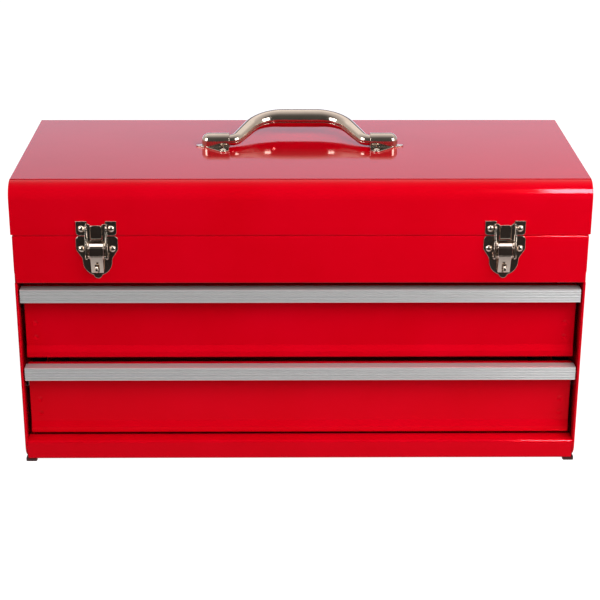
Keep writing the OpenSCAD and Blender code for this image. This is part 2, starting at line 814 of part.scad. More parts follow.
// Lever: a knuckle on its pin, two webs that carry the bail's pin, and the slotted hasp
module latch_lever() {
    hasp_end = lever_face - hasp_len * [sin(hasp_lean), cos(hasp_lean)];
    front = lever_pivot[0] + lever_knuckle_r - latch_t / 2;
    turn = lever_face - latch_t * [sin(hasp_lean), cos(hasp_lean)];
    difference() {
        union() {
            out_along_x(2 * lever_half) {
                translate(lever_pivot) circle(lever_knuckle_r);
                folded([[front, lever_pivot[1]], lever_face, turn], [lever_bend], latch_t);
            }
            out_along_x(2 * hasp_half) strip(lever_face, hasp_end, latch_t);
            both_sides() translate([lever_half - latch_t / 2, 0, 0]) out_along_x(latch_t) {
                translate(bail_pivot) circle(lever_eye_r);
                polygon([lever_pivot - [lever_knuckle_r, 0], bail_pivot - [lever_eye_r, 0],
                    bail_pivot - [0, lever_eye_r], lever_web_front, [front, lever_pivot[1]]]);
            }
        }
        out_along_x(latch_w) {
            translate(lever_pivot) circle(latch_pin_r + running_gap);
            translate(bail_pivot) circle(latch_pin_r);
        }
        out_plate(latch_t, far) box2([-hasp_slot, staple_hole[1] - staple_r - slot_end[0]],
            [hasp_slot, staple_hole[1] + staple_r + slot_end[1]]);
    }
}

// Pin with a flat head at each end
module latch_pin(centre, half, head) {
    out_along_x(2 * half) translate(centre) circle(latch_pin_r);
    if (head > 0) both_sides() translate([half + head / 2 - eps, 0, 0])
        out_along_x(head) translate(centre) circle(pin_head_r);
}

// Bail: two side rails on one plate, which stands behind and each side of the hook
module latch_bail() {
    back = lid_proud + latch_t + bail_gap;
    difference() {
        union() {
            both_sides() translate([bail_half - bail_t / 2, 0, 0]) out_along_x(bail_t)
                link([back + bail_deep / 2, bail_top - bail_arm], bail_deep / 2, bail_pivot, lever_eye_r);
            out_plate(back, back + latch_t) {
                both_sides() rounded([bail_slot, bail_low], [bail_half, bail_top], bail_bend);
                box2([-bail_half + bail_bend, bail_low], [bail_half - bail_bend, bail_low + bail_tie]);
            }
        }
        out_along_x(latch_w) translate(bail_pivot) circle(latch_pin_r + running_gap);
    }
}

module latch_strike_left() color(nickel) at_latch(-1) latch_strike();
module latch_strike_right() color(nickel) at_latch(1) latch_strike();
module latch_plate_left() color(nickel) at_latch(-1) latch_plate();
module latch_plate_right() color(nickel) at_latch(1) latch_plate();
module latch_staple_left() color(nickel) at_latch(-1) latch_staple();
module latch_staple_right() color(nickel) at_latch(1) latch_staple();
module latch_lever_left() color(nickel) at_latch(-1) latch_lever();
module latch_lever_right() color(nickel) at_latch(1) latch_lever();
module latch_bail_left() color(nickel) at_latch(-1) latch_bail();
module latch_bail_right() color(nickel) at_latch(1) latch_bail();
module latch_lever_pin_left() color(nickel) at_latch(-1) latch_pin(lever_pivot, cheek_x + latch_t, 0);
module latch_lever_pin_right() color(nickel) at_latch(1) latch_pin(lever_pivot, cheek_x + latch_t, 0);
module latch_bail_pin_left() color(nickel) at_latch(-1) latch_pin(bail_pivot, bail_pin_half, pin_head_h);
module latch_bail_pin_right() color(nickel) at_latch(1) latch_pin(bail_pivot, bail_pin_half, pin_head_h);

module latch_strike_rivets() color(nickel) for (side = [-1, 1]) at_latch(side) for (s = [-1, 1])
    front_rivet(s * strike_rivet_x, lid_proud + latch_t, strike_rivet_z, latch_t + sheet);

module latch_plate_rivets() color(nickel) for (side = [-1, 1]) at_latch(side) for (s = [-1, 1])
    front_rivet(s * latch_rivet_x, latch_t, plate_rivet_z, latch_t + sheet);

// ---- Handle ----

module on_lid() in_frame() translate([0, handle_y, lid_top]) children();

// Dome from the bracket's inner face outwards, of radius r about the pivot
module bracket_dome(x0, r) {
    translate([x0, 0, pivot_z]) rotate([0, 90, 0]) cylinder(h = bracket_len - x0, r = r);
    box3([x0, -r, 0], [bracket_len, r, pivot_z]);
    translate([bracket_len, 0, pivot_z]) sphere(r);
    translate([bracket_len, 0, 0]) cylinder(h = pivot_z, r = r);
}

// Stamped bracket: a dome over the end of the handle, on a flange with two ears and a tip
module handle_bracket() translate([bracket_x, 0, 0]) difference() {
    union() {
        bracket_dome(0, bracket_r);
        linear_extrude(bracket_t) {
            link([bracket_len - tip_root, 0], bracket_r + bracket_t, [tip_x, 0], tip_r);
            for (s = [-1, 1]) {
                link([ear[0], s * ear[1]], ear_r, [ear_root[0], s * ear_root[1]], ear_root_r);
                box2([0, min(0, s * ear[1])], [ear[0], max(0, s * ear[1])]);
            }
        }
    }
    translate([0, 0, -eps]) bracket_dome(-over, bracket_r - bracket_t);
    box3([-over, -bracket_r, -bracket_r], [bracket_len + bracket_r, bracket_r, 0]);
    for (s = [-1, 1]) translate([ear[0], s * ear[1], 0]) rotate([90, 0, 0]) rivet_hole();
}

module handle_bracket_left() color(nickel) on_lid() mirror([1, 0, 0]) handle_bracket();
module handle_bracket_right() color(nickel) on_lid() handle_bracket();
module handle_rivets() color(nickel) on_lid() both_sides() for (s = [-1, 1])
    translate([bracket_x + ear[0], s * ear[1], bracket_t]) rivet(bracket_t + sheet);

// Middle line of the grip's right half in the plane of the handle, from the crown out to
// the bracket: each station is [x, distance from the pivot, angle of the line, radius]
leg_end = [bracket_x - leg_gap, 0];
leg_low = leg_end - low_bend * [sin(leg_angle), cos(leg_angle) - 1];
leg_rise = handle_reach - leg_low[1] - high_bend * (1 - cos(leg_angle));
leg_high = leg_low + leg_rise * [-1 / tan(leg_angle), 1];
crown_half = leg_high[0] - high_bend * sin(leg_angle);
function grip_taper(x) =
    let (u = max(0, min(1, (x - crown_half) / (leg_end[0] - crown_half))))
    grip_r - (grip_r - neck_r) * (0.75 * u + 0.25 * u * u);
function station(x, r, a) = [x, r, a, grip_taper(x)];
half_line = concat(
    [for (i = [0 : 1]) station(crown_half * i / 2, handle_reach, 0)],
    [for (i = [0 : 8]) let (a = leg_angle * i / 8)
        station(crown_half + high_bend * sin(a), handle_reach - high_bend * (1 - cos(a)), a)],
    [for (i = [1 : 2]) let (p = leg_high + (leg_low - leg_high) * i / 3) station(p[0], p[1], leg_angle)],
    [for (i = [0 : 5]) let (a = leg_angle * (1 - i / 5))
        station(leg_end[0] - low_bend * sin(a), low_bend * (1 - cos(a)), a)],
    [station(bracket_x + journal_in + leg_gap, 0, 0)]);
grip_line = concat(
    [for (i = [len(half_line) - 1 : -1 : 1]) let (s = half_line[i]) [-s[0], s[1], -s[2], s[3]]],
    half_line);

// Section of the rolled grip: a ring with a narrow seam on the side of the pivot
seam_angle = 2.5;
seam_steps = 18;
function seam_arc(r, forward) = [for (i = [0 : seam_steps])
    let (k = forward ? i : seam_steps - i, a = -90 + seam_angle + k * (360 - 2 * seam_angle) / seam_steps)
    [r * cos(a), r * sin(a)]];
function grip_section(r) = concat(seam_arc(r, true), seam_arc(r - grip_wall, false));
function on_station(s, p) = [s[0] + p[1] * sin(s[2]), p[0], s[1] + p[1] * cos(s[2])];

module grip_tube() {
    n = 2 * (seam_steps + 1);
    rings = len(grip_line);
    points = [for (s = grip_line) for (p = grip_section(s[3])) on_station(s, p)];
    sides = [for (j = [0 : rings - 2], i = [0 : n - 1])
        [j * n + i, (j + 1) * n + i, (j + 1) * n + (i + 1) % n, j * n + (i + 1) % n]];
    cap = [for (i = [0 : n - 1]) i];
    end = [for (i = [n - 1 : -1 : 0]) (rings - 1) * n + i];
    polyhedron(points, concat([cap], sides, [end]), convexity = 6);
}

// The handle is drawn upright on its pivot and laid back to its angle of rest
module handle_grip() color(nickel) on_lid() translate([0, 0, pivot_z]) rotate([rest_angle - 90, 0, 0]) {
    grip_tube();
    both_sides() translate([bracket_x + journal_in, 0, 0]) rotate([0, 90, 0])
        cylinder(h = journal_len, r = journal_r);
}

case_shell();
chest_front();
chest_floor();
base_pan();
feet();
lid_skin();
lid_end_left();
lid_end_right();
hinge_leaf_case();
hinge_leaf_lid();
hinge_pin();
slide_channel_upper_left();
slide_channel_upper_right();
slide_channel_lower_left();
slide_channel_lower_right();
drawer_upper_tray();
drawer_upper_front();
drawer_upper_pull();
drawer_upper_runner_left();
drawer_upper_runner_right();
drawer_lower_tray();
drawer_lower_front();
drawer_lower_pull();
drawer_lower_runner_left();
drawer_lower_runner_right();
latch_strike_left();
latch_strike_right();
latch_strike_rivets();
latch_plate_left();
latch_plate_right();
latch_plate_rivets();
latch_staple_left();
latch_staple_right();
latch_lever_left();
latch_lever_right();
latch_lever_pin_left();
latch_lever_pin_right();
latch_bail_left();
latch_bail_right();
latch_bail_pin_left();
latch_bail_pin_right();
handle_bracket_left();
handle_bracket_right();
handle_rivets();
handle_grip();
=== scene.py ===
"""Red tool box with two drawers: camera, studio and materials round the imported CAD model."""
import json
import math

import bmesh
import bpy
from mathutils import Matrix, Vector


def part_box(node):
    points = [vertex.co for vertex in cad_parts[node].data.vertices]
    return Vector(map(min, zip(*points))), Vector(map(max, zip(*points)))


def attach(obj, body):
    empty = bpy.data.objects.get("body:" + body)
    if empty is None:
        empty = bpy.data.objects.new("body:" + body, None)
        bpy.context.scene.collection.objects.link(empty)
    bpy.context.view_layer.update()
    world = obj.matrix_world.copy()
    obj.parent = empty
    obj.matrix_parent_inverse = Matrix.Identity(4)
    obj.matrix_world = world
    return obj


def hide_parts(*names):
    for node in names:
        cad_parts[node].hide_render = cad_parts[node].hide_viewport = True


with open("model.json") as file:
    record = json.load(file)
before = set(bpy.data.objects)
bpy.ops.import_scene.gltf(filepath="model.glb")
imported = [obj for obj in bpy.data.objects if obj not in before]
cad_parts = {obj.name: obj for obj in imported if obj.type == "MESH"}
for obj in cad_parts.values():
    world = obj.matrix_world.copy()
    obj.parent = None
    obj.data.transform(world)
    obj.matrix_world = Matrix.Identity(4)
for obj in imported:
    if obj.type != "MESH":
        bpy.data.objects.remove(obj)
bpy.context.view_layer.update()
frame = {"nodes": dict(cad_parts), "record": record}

MM = 0.001
WHITE = (1, 1, 1)
nodes = frame["nodes"]

# ---- Camera: where the photograph was taken from, in the frame of the box ----

IMAGE_PX = 600
FOCAL_PX = 1594.3
SENSOR_MM = 36.0
FAR_M = 100
# Camera place in metres from the front plane's middle, at the underside of the base
CAMERA_FROM_FRONT = Vector((-0.0163, -1.3314, 0.6738))
YAW, PITCH, ROLL = 0.0117, 0.3695, 0.0028


def make_camera():
    """A camera at the photograph's place: yaw to the right, pitch down, then roll."""
    front = Vector((0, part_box("base_pan")[0].y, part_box("case_shell")[0].z))
    forward = Vector((math.sin(YAW) * math.cos(PITCH), math.cos(YAW) * math.cos(PITCH),
                      -math.sin(PITCH)))
    level = Vector((math.cos(YAW), -math.sin(YAW), 0))
    upright = level.cross(forward)
    right = math.cos(ROLL) * level + math.sin(ROLL) * upright
    up = -math.sin(ROLL) * level + math.cos(ROLL) * upright
    data = bpy.data.cameras.new("camera")
    data.sensor_width = SENSOR_MM
    data.lens = FOCAL_PX / IMAGE_PX * SENSOR_MM
    data.clip_end = FAR_M
    camera = bpy.data.objects.new("camera", data)
    turn = Matrix((right, up, -forward)).transposed().to_4x4()
    camera.matrix_world = Matrix.Translation(front + CAMERA_FROM_FRONT) @ turn
    bpy.context.scene.collection.objects.link(camera)
    bpy.context.scene.camera = camera


# ---- Node helpers ----

# Nearly all values of a noise node lie between these two
NOISE_LOW, NOISE_HIGH = 0.3, 0.7
BEVEL_SAMPLES = 6


def new_material(name):
    """A node material with only a Principled shader, and the tools to add to it."""
    material = bpy.data.materials.new(name)
    material.use_nodes = True
    tree = material.node_tree
    tree.nodes.clear()
    shader = tree.nodes.new("ShaderNodeBsdfPrincipled")
    output = tree.nodes.new("ShaderNodeOutputMaterial")
    tree.links.new(shader.outputs["BSDF"], output.inputs["Surface"])
    return material, tree, shader


def place(tree, scale=(1, 1, 1)):
    """The object's own coordinates in metres, stretched by scale."""
    coordinates = tree.nodes.new("ShaderNodeTexCoord")
    mapping = tree.nodes.new("ShaderNodeMapping")
    mapping.inputs["Scale"].default_value = scale
    tree.links.new(coordinates.outputs["Object"], mapping.inputs["Vector"])
    return mapping.outputs["Vector"]


def noise(tree, vector, scale, detail, roughness=0.5):
    """A noise value; scale is the number of its waves in a metre."""
    node = tree.nodes.new("ShaderNodeTexNoise")
    node.inputs["Scale"].default_value = scale
    node.inputs["Detail"].default_value = detail
    node.inputs["Roughness"].default_value = roughness
    tree.links.new(vector, node.inputs["Vector"])
    return node.outputs["Fac"]


def ramp(tree, value, start, end, low=0.0, high=1.0):
    """From low to high as value goes from start to end."""
    node = tree.nodes.new("ShaderNodeMapRange")
    node.inputs["From Min"].default_value = start
    node.inputs["From Max"].default_value = end
    node.inputs["To Min"].default_value = low
    node.inputs["To Max"].default_value = high
    tree.links.new(value, node.inputs["Value"])
    return node.outputs["Result"]


def spread(tree, value, low, high):
    """Turns a noise value into the range low to high."""
    return ramp(tree, value, NOISE_LOW, NOISE_HIGH, low, high)


def maths(tree, operation, *values):
    """The result of a math node on sockets and numbers."""
    node = tree.nodes.new("ShaderNodeMath")
    node.operation = operation
    for value, socket in zip(values, node.inputs):
        if isinstance(value, (int, float)):
            socket.default_value = value
        else:
            tree.links.new(value, socket)
    return node.outputs[0]


def shades(tree, value, stops):
    """A colour that runs from stop to stop, each a place from 0 to 1 and a colour."""
    node = tree.nodes.new("ShaderNodeValToRGB")
    while len(node.color_ramp.elements) < len(stops):
        node.color_ramp.elements.new(0.5)
    for element, (position, colour) in zip(node.color_ramp.elements, stops):
        element.position = position
        element.color = (*colour, 1)
    tree.links.new(value, node.inputs["Fac"])
    return node.outputs["Color"]


def two_tone(tree, value, dark, light):
    """A colour between dark and light by a noise value."""
    return shades(tree, value, ((NOISE_LOW, dark), (NOISE_HIGH, light)))


def bump(tree, shader, height, depth, strength, edge=0.0):
    """Relief of the given depth in metres, over edges rounded by the radius edge."""
    node = tree.nodes.new("ShaderNodeBump")
    node.inputs["Strength"].default_value = strength
    node.inputs["Distance"].default_value = depth
    tree.links.new(height, node.inputs["Height"])
    if edge:
        bevel = tree.nodes.new("ShaderNodeBevel")
        bevel.samples = BEVEL_SAMPLES
        bevel.inputs["Radius"].default_value = edge
        tree.links.new(bevel.outputs["Normal"], node.inputs["Normal"])
    tree.links.new(node.outputs["Normal"], shader.inputs["Normal"])


# ---- Materials ----

def red_enamel():
    """Gloss baked enamel: a deep red with a faint orange peel."""
    material, tree, shader = new_material("red_enamel")
    at = place(tree)
    patches = noise(tree, at, scale=14, detail=3)
    colour = two_tone(tree, patches, (0.655, 0.0002, 0.0072), (0.705, 0.0003, 0.0105))
    tree.links.new(colour, shader.inputs["Base Color"])
    gloss = noise(tree, at, scale=60, detail=2)
    tree.links.new(spread(tree, gloss, 0.05, 0.08), shader.inputs["Roughness"])
    shader.inputs["IOR"].default_value = 1.6
    shader.inputs["Specular Tint"].default_value = (1.0, 0.036, 0.045, 1)
    peel = noise(tree, at, scale=420, detail=1)
    bump(tree, shader, peel, depth=0.00002, strength=0.6, edge=0.0007)
    return material


def brushed_aluminium():
    """Extruded aluminium, drawn along the width of the box."""
    material, tree, shader = new_material("brushed_aluminium")
    along_x = (0.04, 1400, 1400)
    lines = noise(tree, place(tree, along_x), scale=1, detail=3, roughness=0.6)
    colour = two_tone(tree, lines, (0.74, 0.74, 0.745), (0.80, 0.80, 0.795))
    tree.links.new(colour, shader.inputs["Base Color"])
    shader.inputs["Metallic"].default_value = 0.62
    tree.links.new(spread(tree, lines, 0.30, 0.38), shader.inputs["Roughness"])
    return material


def bright_nickel():
    """Polished nickel plate with a warm tint and a slightly uneven polish."""
    material, tree, shader = new_material("bright_nickel")
    at = place(tree)
    patches = noise(tree, at, scale=45, detail=3)
    colour = two_tone(tree, patches, (0.58, 0.49, 0.42), (0.67, 0.57, 0.49))
    tree.links.new(colour, shader.inputs["Base Color"])
    shader.inputs["Metallic"].default_value = 1.0
    polish = noise(tree, at, scale=160, detail=3)
    tree.links.new(spread(tree, polish, 0.07, 0.16), shader.inputs["Roughness"])
    waves = noise(tree, at, scale=260, detail=2)
    bump(tree, shader, waves, depth=0.00003, strength=0.5, edge=0.0008)
    return material


def zinc_plate():
    """Zinc-plated steel strip, dull grey with a fine grain."""
    material, tree, shader = new_material("zinc_plate")
    at = place(tree)
    patches = noise(tree, at, scale=90, detail=4)
    colour = two_tone(tree, patches, (0.42, 0.43, 0.44), (0.56, 0.57, 0.58))
    tree.links.new(colour, shader.inputs["Base Color"])
    shader.inputs["Metallic"].default_value = 1.0
    dullness = noise(tree, at, scale=220, detail=3)
    tree.links.new(spread(tree, dullness, 0.28, 0.45), shader.inputs["Roughness"])
    grain = noise(tree, at, scale=900, detail=2)
    bump(tree, shader, grain, depth=0.00003, strength=0.5)
    return material


def foot_rubber():
    """Dark rubber with a matt, slightly pebbled skin."""
    material, tree, shader = new_material("foot_rubber")
    at = place(tree)
    patches = noise(tree, at, scale=200, detail=3)
    colour = two_tone(tree, patches, (0.028, 0.006, 0.006), (0.060, 0.014, 0.012))
    tree.links.new(colour, shader.inputs["Base Color"])
    shader.inputs["Roughness"].default_value = 0.6
    pebbles = noise(tree, at, scale=1200, detail=2)
    bump(tree, shader, pebbles, depth=0.00008, strength=0.6)
    return material


SHARP_ANGLE = math.radians(28)
BENT_EDGE_M, BENT_EDGE_STEPS, BENT_ANGLE = 0.0006, 2, math.radians(40)
FLAT_ANGLE = math.radians(0.5)
PRESSED = ("latch_strike_left", "latch_strike_right", "latch_plate_left", "latch_plate_right",
           "latch_bail_left", "latch_bail_right", "latch_staple_left", "latch_staple_right",
           "handle_bracket_left", "handle_bracket_right")


def soften_edges(node):
    """Rounds the cut edges of a stamping, on its flat faces made whole."""
    whole = node.modifiers.new("whole_faces", "DECIMATE")
    whole.decimate_type = "DISSOLVE"
    whole.angle_limit = FLAT_ANGLE
    rounded = node.modifiers.new("round_edges", "BEVEL")
    rounded.width = BENT_EDGE_M
    rounded.segments = BENT_EDGE_STEPS
    rounded.limit_method = "ANGLE"
    rounded.angle_limit = BENT_ANGLE
    rounded.harden_normals = True


def set_materials():
    """Gives each CAD node the material of its slot, and joins the groups that lamps are kept to."""
    made = {
        "red_paint": red_enamel(),
        "pull_aluminium": brushed_aluminium(),
        "nickel_plate": bright_nickel(),
        "zinc_steel": zinc_plate(),
        "foot_rubber": foot_rubber(),
    }
    groups = ("red_paint", "pull_aluminium", "nickel_plate", "latches")
    lit = {name: bpy.data.collections.new(name) for name in groups}
    for part in frame["record"]["subparts"]:
        node, slot = nodes[part["node"]], part["material_slot"]
        node.data.materials.clear()
        node.data.materials.append(made[slot])
        node.data.shade_smooth()
        if slot in lit:
            lit[slot].objects.link(node)
        if part["node"].startswith("latch_"):
            lit["latches"].objects.link(node)
        if part["node"] in PRESSED:
            soften_edges(node)
        else:
            node.data.set_sharp_from_angle(angle=SHARP_ANGLE)
    return made, lit


# ---- Pieces that replace CAD nodes ----

def pivot_of(joint_name):
    """Where a joint of the record stands, in metres."""
    joints = frame["record"]["behaviour"]["joints"]
    return Vector(next(joint["pos_m"] for joint in joints if joint["name"] == joint_name))


def add_piece(name, points, faces, material, groups):
    """A piece in the shared frame, also in the groups that lamps are kept to."""
    mesh = bpy.data.meshes.new(name)
    mesh.from_pydata(points, [], faces)
    mesh.materials.append(material)
    piece = bpy.data.objects.new(name, mesh)
    bpy.context.scene.collection.objects.link(piece)
    for group in groups:
        group.objects.link(piece)
    return piece


# ---- The rolled grip, in a finer mesh than the CAD node ----

# Lengths in mm
GRIP_RADIUS, NECK_RADIUS, GRIP_WALL = 8.65, 4.95, 1.2
GRIP_REACH, REST_ANGLE = 44.4, math.radians(13)
LEG_ANGLE, LOW_BEND, HIGH_BEND = math.radians(63.5), 8.2, 33
LEG_END, GRIP_END = 65.6, 67.4
# How the radius falls from the grip to the neck: shares of a straight and of a square run
TAPER_STRAIGHT, TAPER_SQUARE = 0.75, 0.25
SEAM_ANGLE = math.radians(2.5)
CROWN_STEPS, HIGH_STEPS, LEG_STEPS, LOW_STEPS, ROUND_STEPS = 3, 28, 4, 14, 44
GRIP_SHARP_ANGLE = math.radians(40)


def grip_stations():
    """The grip's middle line from end to end: across, out from the pivot, direction, radius."""
    fall = 1 - math.cos(LEG_ANGLE)
    low = (LEG_END - LOW_BEND * math.sin(LEG_ANGLE), LOW_BEND * fall)
    rise = GRIP_REACH - low[1] - HIGH_BEND * fall
    high = low[0] - rise / math.tan(LEG_ANGLE)
    crown = high - HIGH_BEND * math.sin(LEG_ANGLE)
    line = [(crown * i / CROWN_STEPS, GRIP_REACH, 0) for i in range(CROWN_STEPS)]
    for i in range(HIGH_STEPS + 1):
        a = LEG_ANGLE * i / HIGH_STEPS
        line.append((crown + HIGH_BEND * math.sin(a),
                     GRIP_REACH - HIGH_BEND * (1 - math.cos(a)), a))
    for i in range(1, LEG_STEPS):
        line.append((high + (low[0] - high) * i / LEG_STEPS,
                     low[1] + rise * (LEG_STEPS - i) / LEG_STEPS, LEG_ANGLE))
    for i in range(LOW_STEPS + 1):
        a = LEG_ANGLE * (1 - i / LOW_STEPS)
        line.append((LEG_END - LOW_BEND * math.sin(a), LOW_BEND * (1 - math.cos(a)), a))
    line.append((GRIP_END, 0, 0))

    def radius(x):
        u = max(0, min(1, (x - crown) / (LEG_END - crown)))
        taper = TAPER_STRAIGHT * u + TAPER_SQUARE * u * u
        return GRIP_RADIUS - (GRIP_RADIUS - NECK_RADIUS) * taper

    half = [(x, out, turn, radius(x)) for x, out, turn in line]
    return [(-x, out, -turn, r) for x, out, turn, r in reversed(half[1:])] + half


def make_grip(material, groups):
    """A tube rolled from sheet with a narrow seam on the side of the pivot."""
    pivot = pivot_of("handle_swing")
    outwards = Vector((0, math.cos(REST_ANGLE), math.sin(REST_ANGLE)))
    across = Vector((0, math.sin(REST_ANGLE), -math.cos(REST_ANGLE)))
    turns = [SEAM_ANGLE - math.pi / 2 + i * (2 * math.pi - 2 * SEAM_ANGLE) / ROUND_STEPS
             for i in range(ROUND_STEPS + 1)]
    stations = grip_stations()
    points = []
    for x, out, turn, r in stations:
        ring = [(a, r) for a in turns] + [(a, r - GRIP_WALL) for a in reversed(turns)]
        for a, reach in ring:
            side, rise = reach * math.cos(a), reach * math.sin(a)
            middle = Vector((x + rise * math.sin(turn), 0, 0))
            offset = middle + side * across + (out + rise * math.cos(turn)) * outwards
            points.append(pivot + MM * offset)
    n = 2 * (ROUND_STEPS + 1)
    faces = [(j * n + i, (j + 1) * n + i, (j + 1) * n + (i + 1) % n, j * n + (i + 1) % n)
             for j in range(len(stations) - 1) for i in range(n)]
    last_ring = (len(stations) - 1) * n
    for start in (0, last_ring):
        for i in range(ROUND_STEPS):
            cap = (start + i, start + i + 1, start + n - 2 - i, start + n - 1 - i)
            faces.append(cap if start == 0 else tuple(reversed(cap)))
    grip = add_piece("rolled_grip", points, faces, material, groups)
    grip.data.shade_smooth()
    grip.data.set_sharp_from_angle(angle=GRIP_SHARP_ANGLE)
    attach(grip, "handle")
    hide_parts("handle_grip")


# ---- Latch levers: the CAD lever with its sheet rolled round the pin and a shorter face ----

# Lengths in mm; places are out from the pin and up from it
SHEET = 1.2
LEVER_HALF, HASP_HALF, SLOT_HALF = 6.4, 5.5, 1.7
PIN = (0, 0)
CURL_RADIUS, CURL_FROM, CURL_TO = 1.9, math.radians(215), math.radians(54)
FACE_TOP, FACE_FOOT, FACE_BEND = (3.4, -0.6), (3.4, -8.7), 1.5
# The webs: where their outer arc ends, and their straight edge behind the face
WEB_TO = math.radians(45)
WEB_FRONT = FACE_TOP[0] - SHEET / 4
WEB_EDGE = ((WEB_FRONT, FACE_TOP[1] - 1), (WEB_FRONT, FACE_FOOT[1] - 0.6))
# The pin's hole in the webs, open at the back
HOLE_RADIUS, HOLE_FROM, HOLE_TO = 1.4, math.radians(245), math.radians(575)
BAIL_EYE, EYE_RADIUS, EYE_FROM, EYE_TO = (-1.0, -11.0), 2.4, math.radians(-60), math.radians(-180)
HASP_LEAN, HASP_LENGTH = math.radians(17), 17.8
SLOT_FROM, SLOT_TO = 8.8, 16.9
CURL_STEPS, BEND_STEPS, WEB_STEPS, HOLE_STEPS = 12, 8, 8, 20


def arc(centre, radius, start, end, steps):
    """Points of an arc in the plane across x."""
    turns = [start + (end - start) * i / steps for i in range(steps + 1)]
    return [(centre[0] + radius * math.cos(a), centre[1] + radius * math.sin(a)) for a in turns]


def ribbon(path, half, thickness):
    """Points and faces of a strip of sheet that follows a path in the plane across x."""
    points, faces = [], []
    for i, (out, up) in enumerate(path):
        before, after = path[max(i - 1, 0)], path[min(i + 1, len(path) - 1)]
        along = Vector((after[0] - before[0], after[1] - before[1])).normalized()
        normal = Vector((along.y, -along.x)) * thickness / 2
        for side, x in ((1, half), (1, -half), (-1, -half), (-1, half)):
            points.append((x, out + side * normal.x, up + side * normal.y))
    for start in range(0, 4 * (len(path) - 1), 4):
        for k in range(4):
            following = start + (k + 1) % 4
            faces.append((start + k, following, following + 4, start + k + 4))
    last = 4 * (len(path) - 1)
    faces.append((3, 2, 1, 0))
    faces.append((last, last + 1, last + 2, last + 3))
    return points, faces


def slab(outline, x_from, x_to):
    """Points and faces of an outline in the plane across x, made as thick as x_from to x_to."""
    n = len(outline)
    points = [(x, out, up) for x in (x_from, x_to) for out, up in outline]
    faces = [(i, (i + 1) % n, n + (i + 1) % n, n + i) for i in range(n)]
    return points, faces + [tuple(reversed(range(n))), tuple(range(n, 2 * n))]


def hasp_plate():
    """The hasp as one closed plate with a slot, from rows of points down it and across it."""
    lean = Vector((math.sin(HASP_LEAN), math.cos(HASP_LEAN)))
    normal = Vector((math.cos(HASP_LEAN), -math.sin(HASP_LEAN))) * SHEET / 2
    rows = [Vector(FACE_FOOT) - lean * down for down in (0, SLOT_FROM, SLOT_TO, HASP_LENGTH)]
    across = (-HASP_HALF, -SLOT_HALF, SLOT_HALF, HASP_HALF)
    points = [(x, row.x + way * normal.x, row.y + way * normal.y)
              for way in (1, -1) for row in rows for x in across]

    def at(back, row, column):
        return (back * len(rows) + row) * len(across) + column

    slot = (1, 1)
    faces = []
    for row in range(3):
        for column in range(3):
            if (row, column) == slot:
                continue
            cell = [(row, column), (row, column + 1), (row + 1, column + 1), (row + 1, column)]
            faces.append(tuple(at(0, *c) for c in cell))
            faces.append(tuple(at(1, *c) for c in reversed(cell)))
    outside = [(0, c) for c in range(3)] + [(r, 3) for r in range(3)]
    outside += [(3, 3 - c) for c in range(3)] + [(3 - r, 0) for r in range(3)]
    inside = [(1, 1), (2, 1), (2, 2), (1, 2)]
    for loop in (outside, inside):
        for here, following in zip(loop, loop[1:] + loop[:1]):
            faces.append((at(0, *here), at(1, *here), at(1, *following), at(0, *following)))
    return points, faces


def lever_solids():
    """The lever's solids: rolled top and face, two webs with the bail's eyes, and the hasp."""
    curl = arc(PIN, CURL_RADIUS, CURL_FROM, CURL_TO, CURL_STEPS)
    face = Vector(FACE_TOP)
    slope = (face - Vector(curl[-1])).normalized()
    corner = [tuple(face - FACE_BEND * slope * (1 - t) ** 2 + Vector((0, -FACE_BEND)) * t ** 2)
              for t in [i / BEND_STEPS for i in range(BEND_STEPS + 1)]]
    web = arc(PIN, CURL_RADIUS + SHEET / 2, CURL_FROM, WEB_TO, WEB_STEPS)
    web += WEB_EDGE
    web += arc(BAIL_EYE, EYE_RADIUS, EYE_FROM, EYE_TO, WEB_STEPS)
    web += arc(PIN, HOLE_RADIUS, HOLE_FROM, HOLE_TO, HOLE_STEPS)
    return [
        ribbon(curl + corner + [FACE_FOOT], LEVER_HALF, SHEET),
        slab(web, LEVER_HALF - SHEET, LEVER_HALF),
        slab(web, -LEVER_HALF, SHEET - LEVER_HALF),
        hasp_plate(),
    ]


def make_lever(side, material, groups):
    """The visual lever of one side, on the pivot of the CAD lever."""
    pivot = pivot_of(f"lever_{side}_pivot")
    points, faces = [], []
    for new_points, new_faces in lever_solids():
        start = len(points)
        points += [pivot + MM * Vector((x, -out, up)) for x, out, up in new_points]
        faces += [tuple(start + i for i in face) for face in new_faces]
    lever = add_piece(f"folded_lever_{side}", points, faces, material, groups)
    work = bmesh.new()
    work.from_mesh(lever.data)
    bmesh.ops.recalc_face_normals(work, faces=work.faces)
    work.to_mesh(lever.data)
    work.free()
    lever.data.shade_smooth()
    soften_edges(lever)
    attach(lever, f"lever_{side}")
    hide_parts(f"latch_lever_{side}")


# ---- Studio ----

FLOOR_HALF_M = 2.5
# The floor's own glow, as the camera sees it and as reflections show it
FLOOR_LIFT, FLOOR_GLOW = 0.95, 0.45
# Where the floor turns dim in reflections, in metres along y, and its colour there
DIM_FROM, DIM_TO = -0.25, -0.29
DIM_SHADE = (0.03, 0.026, 0.024)
# Soft fill: its brightness low in front of the box, low on its other sides, and from above
FILL_FRONT, FILL_SIDES, FILL_ABOVE = 0.90, 0.5, 0.1
# Where the fill changes, by the y and z of a direction: sides to front, and above to low
FRONT_FROM, FRONT_TO = 0.2, -0.7
LOW_FROM, LOW_TO = 0.85, 0.35
